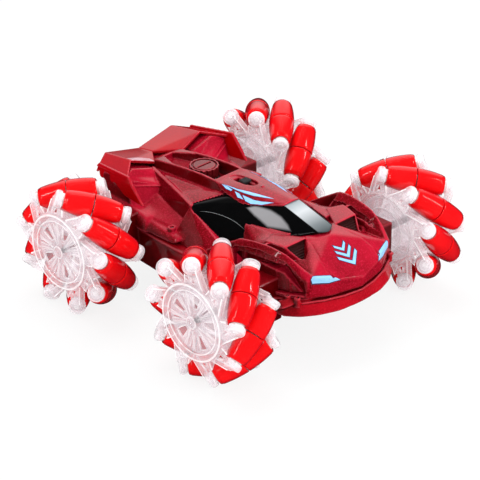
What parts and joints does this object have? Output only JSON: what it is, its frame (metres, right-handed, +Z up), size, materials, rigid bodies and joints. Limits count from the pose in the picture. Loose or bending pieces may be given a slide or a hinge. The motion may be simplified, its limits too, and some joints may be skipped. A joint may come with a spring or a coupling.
{
  "type": "rc stunt car",
  "caption": "Toy stunt car with a translucent red body, black glazing, rear wing and four clear mecanum wheels with angled glossy rollers.",
  "frame": {"origin": "on the ground plane, below the middle of the car's bounding box", "axes": "+Z up, -Y towards the front of the car, +X towards the car's left side"},
  "size_m": [0.2384, 0.237, 0.096],
  "materials": {
    "roller_plastic": "high-gloss moulded red sleeves on the rollers",
    "clear_plastic": "clear polished plastic, edges read white",
    "shell_plastic": "smoked translucent crimson plastic with a fine speckle",
    "tray_plastic": "darker translucent red plastic",
    "canopy_plastic": "mirror-gloss black",
    "gearbox_plastic": "grey moulded gearbox case",
    "cell_wrap": "shrink-wrapped cells",
    "board": "solder-masked board",
    "black_plastic": "satin black plastic",
    "screw_steel": "plated steel"
  },
  "bodies": {
    "car": {"chassis_tray": "tray_plastic", "body_shell": "shell_plastic", "canopy": "canopy_plastic", "rear_wing": "shell_plastic", "gearmotor_fl": "gearbox_plastic", "gearmotor_fr": "gearbox_plastic", "gearmotor_rl": "gearbox_plastic", "gearmotor_rr": "gearbox_plastic", "battery_pack": "cell_wrap", "circuit_board": "board", "speaker": "black_plastic", "water_tank": "clear_plastic"},
    "battery_door": {"battery_door": "tray_plastic", "battery_door_screw": "screw_steel"},
    "filler_cap": {"filler_cap": "shell_plastic"},
    "power_switch": {"power_switch": "black_plastic"},
    "wheel_fl": {"hub_outer_fl": "clear_plastic", "hub_inner_fl": "clear_plastic"},
    "wheel_fr": {"hub_outer_fr": "clear_plastic", "hub_inner_fr": "clear_plastic"},
    "wheel_rl": {"hub_outer_rl": "clear_plastic", "hub_inner_rl": "clear_plastic"},
    "wheel_rr": {"hub_outer_rr": "clear_plastic", "hub_inner_rr": "clear_plastic"},
    "roller_fl_1": {"roller_fl_1": "roller_plastic"},
    "roller_fl_2": {"roller_fl_2": "roller_plastic"},
    "roller_fl_3": {"roller_fl_3": "roller_plastic"},
    "roller_fl_4": {"roller_fl_4": "roller_plastic"},
    "roller_fl_5": {"roller_fl_5": "roller_plastic"},
    "roller_fl_6": {"roller_fl_6": "roller_plastic"},
    "roller_fl_7": {"roller_fl_7": "roller_plastic"},
    "roller_fl_8": {"roller_fl_8": "roller_plastic"},
    "roller_fl_9": {"roller_fl_9": "roller_plastic"},
    "roller_fr_1": {"roller_fr_1": "roller_plastic"},
    "roller_fr_2": {"roller_fr_2": "roller_plastic"},
    "roller_fr_3": {"roller_fr_3": "roller_plastic"},
    "roller_fr_4": {"roller_fr_4": "roller_plastic"},
    "roller_fr_5": {"roller_fr_5": "roller_plastic"},
    "roller_fr_6": {"roller_fr_6": "roller_plastic"},
    "roller_fr_7": {"roller_fr_7": "roller_plastic"},
    "roller_fr_8": {"roller_fr_8": "roller_plastic"},
    "roller_fr_9": {"roller_fr_9": "roller_plastic"},
    "roller_rl_1": {"roller_rl_1": "roller_plastic"},
    "roller_rl_2": {"roller_rl_2": "roller_plastic"},
    "roller_rl_3": {"roller_rl_3": "roller_plastic"},
    "roller_rl_4": {"roller_rl_4": "roller_plastic"},
    "roller_rl_5": {"roller_rl_5": "roller_plastic"},
    "roller_rl_6": {"roller_rl_6": "roller_plastic"},
    "roller_rl_7": {"roller_rl_7": "roller_plastic"},
    "roller_rl_8": {"roller_rl_8": "roller_plastic"},
    "roller_rl_9": {"roller_rl_9": "roller_plastic"},
    "roller_rr_1": {"roller_rr_1": "roller_plastic"},
    "roller_rr_2": {"roller_rr_2": "roller_plastic"},
    "roller_rr_3": {"roller_rr_3": "roller_plastic"},
    "roller_rr_4": {"roller_rr_4": "roller_plastic"},
    "roller_rr_5": {"roller_rr_5": "roller_plastic"},
    "roller_rr_6": {"roller_rr_6": "roller_plastic"},
    "roller_rr_7": {"roller_rr_7": "roller_plastic"},
    "roller_rr_8": {"roller_rr_8": "roller_plastic"},
    "roller_rr_9": {"roller_rr_9": "roller_plastic"}
  },
  "joints": [
    {"name": "battery_door_swing", "type": "hinge", "parent": "car", "child": "battery_door", "pos_m": [0, -0.02493, 0.02081], "axis": [-1, 0, 0], "range_deg": [0, 85]},
    {"name": "cap_twist", "type": "hinge", "parent": "car", "child": "filler_cap", "pos_m": [0, 0.04147, 0.08041], "axis": [0, 0, 1], "range_deg": [0, 90]},
    {"name": "drive_fl", "type": "hinge", "parent": "car", "child": "wheel_fl", "pos_m": [0.0956, -0.06773, 0.04791], "axis": [1, 0, 0], "continuous": true},
    {"name": "drive_fr", "type": "hinge", "parent": "car", "child": "wheel_fr", "pos_m": [-0.0956, -0.06773, 0.04791], "axis": [1, 0, 0], "continuous": true},
    {"name": "drive_rl", "type": "hinge", "parent": "car", "child": "wheel_rl", "pos_m": [0.0956, 0.07067, 0.04791], "axis": [1, 0, 0], "continuous": true},
    {"name": "drive_rr", "type": "hinge", "parent": "car", "child": "wheel_rr", "pos_m": [-0.0956, 0.07067, 0.04791], "axis": [1, 0, 0], "continuous": true},
    {"name": "power_slide", "type": "slide", "parent": "car", "child": "power_switch", "axis": [0, -1, 0], "range_m": [0, 0.005]},
    {"name": "roller_fl_1_spin", "type": "hinge", "parent": "wheel_fl", "child": "roller_fl_1", "pos_m": [0.0956, -0.05249, 0.08261], "axis": [0.7071, -0.6475, 0.2842], "continuous": true},
    {"name": "roller_fl_2_spin", "type": "hinge", "parent": "wheel_fl", "child": "roller_fl_2", "pos_m": [0.0956, -0.03375, 0.0647], "axis": [0.7071, -0.3133, 0.6339], "continuous": true},
    {"name": "roller_fl_3_spin", "type": "hinge", "parent": "wheel_fl", "child": "roller_fl_3", "pos_m": [0.0956, -0.0309, 0.03893], "axis": [0.7071, 0.1675, 0.687], "continuous": true},
    {"name": "roller_fl_4_spin", "type": "hinge", "parent": "wheel_fl", "child": "roller_fl_4", "pos_m": [0.0956, -0.04529, 0.01736], "axis": [0.7071, 0.5699, 0.4186], "continuous": true},
    {"name": "roller_fl_5_spin", "type": "hinge", "parent": "wheel_fl", "child": "roller_fl_5", "pos_m": [0.0956, -0.07017, 0.01009], "axis": [0.7071, 0.7056, -0.0456], "continuous": true},
    {"name": "roller_fl_6_spin", "type": "hinge", "parent": "wheel_fl", "child": "roller_fl_6", "pos_m": [0.0956, -0.09391, 0.02051], "axis": [0.7071, 0.5112, -0.4885], "continuous": true},
    {"name": "roller_fl_7_spin", "type": "hinge", "parent": "wheel_fl", "child": "roller_fl_7", "pos_m": [0.0956, -0.1054, 0.04375], "axis": [0.7071, 0.0776, -0.7028], "continuous": true},
    {"name": "roller_fl_8_spin", "type": "hinge", "parent": "wheel_fl", "child": "roller_fl_8", "pos_m": [0.0956, -0.09926, 0.06893], "axis": [0.7071, -0.3923, -0.5883], "continuous": true},
    {"name": "roller_fl_9_spin", "type": "hinge", "parent": "wheel_fl", "child": "roller_fl_9", "pos_m": [0.0956, -0.07836, 0.08428], "axis": [0.7071, -0.6787, -0.1985], "continuous": true},
    {"name": "roller_fr_1_spin", "type": "hinge", "parent": "wheel_fr", "child": "roller_fr_1", "pos_m": [-0.0956, -0.04976, 0.08128], "axis": [-0.7071, -0.6226, 0.3352], "continuous": true},
    {"name": "roller_fr_2_spin", "type": "hinge", "parent": "wheel_fr", "child": "roller_fr_2", "pos_m": [-0.0956, -0.03251, 0.06192], "axis": [-0.7071, -0.2615, 0.657], "continuous": true},
    {"name": "roller_fr_3_spin", "type": "hinge", "parent": "wheel_fr", "child": "roller_fr_3", "pos_m": [-0.0956, -0.03174, 0.03601], "axis": [-0.7071, 0.222, 0.6713], "continuous": true},
    {"name": "roller_fr_4_spin", "type": "hinge", "parent": "wheel_fr", "child": "roller_fr_4", "pos_m": [-0.0956, -0.04781, 0.01566], "axis": [-0.7071, 0.6016, 0.3716], "continuous": true},
    {"name": "roller_fr_5_spin", "type": "hinge", "parent": "wheel_fr", "child": "roller_fr_5", "pos_m": [-0.0956, -0.0732, 0.0104], "axis": [-0.7071, 0.6997, -0.1021], "continuous": true},
    {"name": "roller_fr_6_spin", "type": "hinge", "parent": "wheel_fr", "child": "roller_fr_6", "pos_m": [-0.0956, -0.09602, 0.02269], "axis": [-0.7071, 0.4704, -0.528], "continuous": true},
    {"name": "roller_fr_7_spin", "type": "hinge", "parent": "wheel_fr", "child": "roller_fr_7", "pos_m": [-0.0956, -0.10561, 0.04678], "axis": [-0.7071, 0.021, -0.7068], "continuous": true},
    {"name": "roller_fr_8_spin", "type": "hinge", "parent": "wheel_fr", "child": "roller_fr_8", "pos_m": [-0.0956, -0.09747, 0.0714], "axis": [-0.7071, -0.4382, -0.5549], "continuous": true},
    {"name": "roller_fr_9_spin", "type": "hinge", "parent": "wheel_fr", "child": "roller_fr_9", "pos_m": [-0.0956, -0.07541, 0.08502], "axis": [-0.7071, -0.6924, -0.1434], "continuous": true},
    {"name": "roller_rl_1_spin", "type": "hinge", "parent": "wheel_rl", "child": "roller_rl_1", "pos_m": [0.0956, 0.08301, 0.08374], "axis": [0.7071, 0.6686, -0.2302], "continuous": true},
    {"name": "roller_rl_2_spin", "type": "hinge", "parent": "wheel_rl", "child": "roller_rl_2", "pos_m": [0.0956, 0.10316, 0.06743], "axis": [0.7071, 0.3642, -0.6061], "continuous": true},
    {"name": "roller_rl_3_spin", "type": "hinge", "parent": "wheel_rl", "child": "roller_rl_3", "pos_m": [0.0956, 0.10811, 0.04198], "axis": [0.7071, -0.1106, -0.6984], "continuous": true},
    {"name": "roller_rl_4_spin", "type": "hinge", "parent": "wheel_rl", "child": "roller_rl_4", "pos_m": [0.0956, 0.09554, 0.0193], "axis": [0.7071, -0.5337, -0.4639], "continuous": true},
    {"name": "roller_rl_5_spin", "type": "hinge", "parent": "wheel_rl", "child": "roller_rl_5", "pos_m": [0.0956, 0.07133, 0.01001], "axis": [0.7071, -0.707, -0.0123], "continuous": true},
    {"name": "roller_rl_6_spin", "type": "hinge", "parent": "wheel_rl", "child": "roller_rl_6", "pos_m": [0.0956, 0.04682, 0.01845], "axis": [0.7071, -0.5495, 0.445], "continuous": true},
    {"name": "roller_rl_7_spin", "type": "hinge", "parent": "wheel_rl", "child": "roller_rl_7", "pos_m": [0.0956, 0.03347, 0.04067], "axis": [0.7071, -0.1349, 0.6941], "continuous": true},
    {"name": "roller_rl_8_spin", "type": "hinge", "parent": "wheel_rl", "child": "roller_rl_8", "pos_m": [0.0956, 0.03753, 0.06628], "axis": [0.7071, 0.3428, 0.6184], "continuous": true},
    {"name": "roller_rl_9_spin", "type": "hinge", "parent": "wheel_rl", "child": "roller_rl_9", "pos_m": [0.0956, 0.05709, 0.08329], "axis": [0.7071, 0.6601, 0.2534], "continuous": true},
    {"name": "roller_rr_1_spin", "type": "hinge", "parent": "wheel_rr", "child": "roller_rr_1", "pos_m": [-0.0956, 0.08156, 0.08421], "axis": [-0.7071, 0.6773, -0.2032], "continuous": true},
    {"name": "roller_rr_2_spin", "type": "hinge", "parent": "wheel_rr", "child": "roller_rr_2", "pos_m": [-0.0956, 0.10235, 0.06871], "axis": [-0.7071, 0.3882, -0.591], "continuous": true},
    {"name": "roller_rr_3_spin", "type": "hinge", "parent": "wheel_rr", "child": "roller_rr_3", "pos_m": [-0.0956, 0.10831, 0.04348], "axis": [-0.7071, -0.0825, -0.7023], "continuous": true},
    {"name": "roller_rr_4_spin", "type": "hinge", "parent": "wheel_rr", "child": "roller_rr_4", "pos_m": [-0.0956, 0.09667, 0.02032], "axis": [-0.7071, -0.5146, -0.4849], "continuous": true},
    {"name": "roller_rr_5_spin", "type": "hinge", "parent": "wheel_rr", "child": "roller_rr_5", "pos_m": [-0.0956, 0.07286, 0.01007], "axis": [-0.7071, -0.7059, -0.0407], "continuous": true},
    {"name": "roller_rr_6_spin", "type": "hinge", "parent": "wheel_rr", "child": "roller_rr_6", "pos_m": [-0.0956, 0.04802, 0.01752], "axis": [-0.7071, -0.5669, 0.4226], "continuous": true},
    {"name": "roller_rr_7_spin", "type": "hinge", "parent": "wheel_rr", "child": "roller_rr_7", "pos_m": [-0.0956, 0.03379, 0.03919], "axis": [-0.7071, -0.1627, 0.6881], "continuous": true},
    {"name": "roller_rr_8_spin", "type": "hinge", "parent": "wheel_rr", "child": "roller_rr_8", "pos_m": [-0.0956, 0.03682, 0.06494], "axis": [-0.7071, 0.3177, 0.6317], "continuous": true},
    {"name": "roller_rr_9_spin", "type": "hinge", "parent": "wheel_rr", "child": "roller_rr_9", "pos_m": [-0.0956, 0.05568, 0.08271], "axis": [-0.7071, 0.6494, 0.2797], "continuous": true}
  ]
}
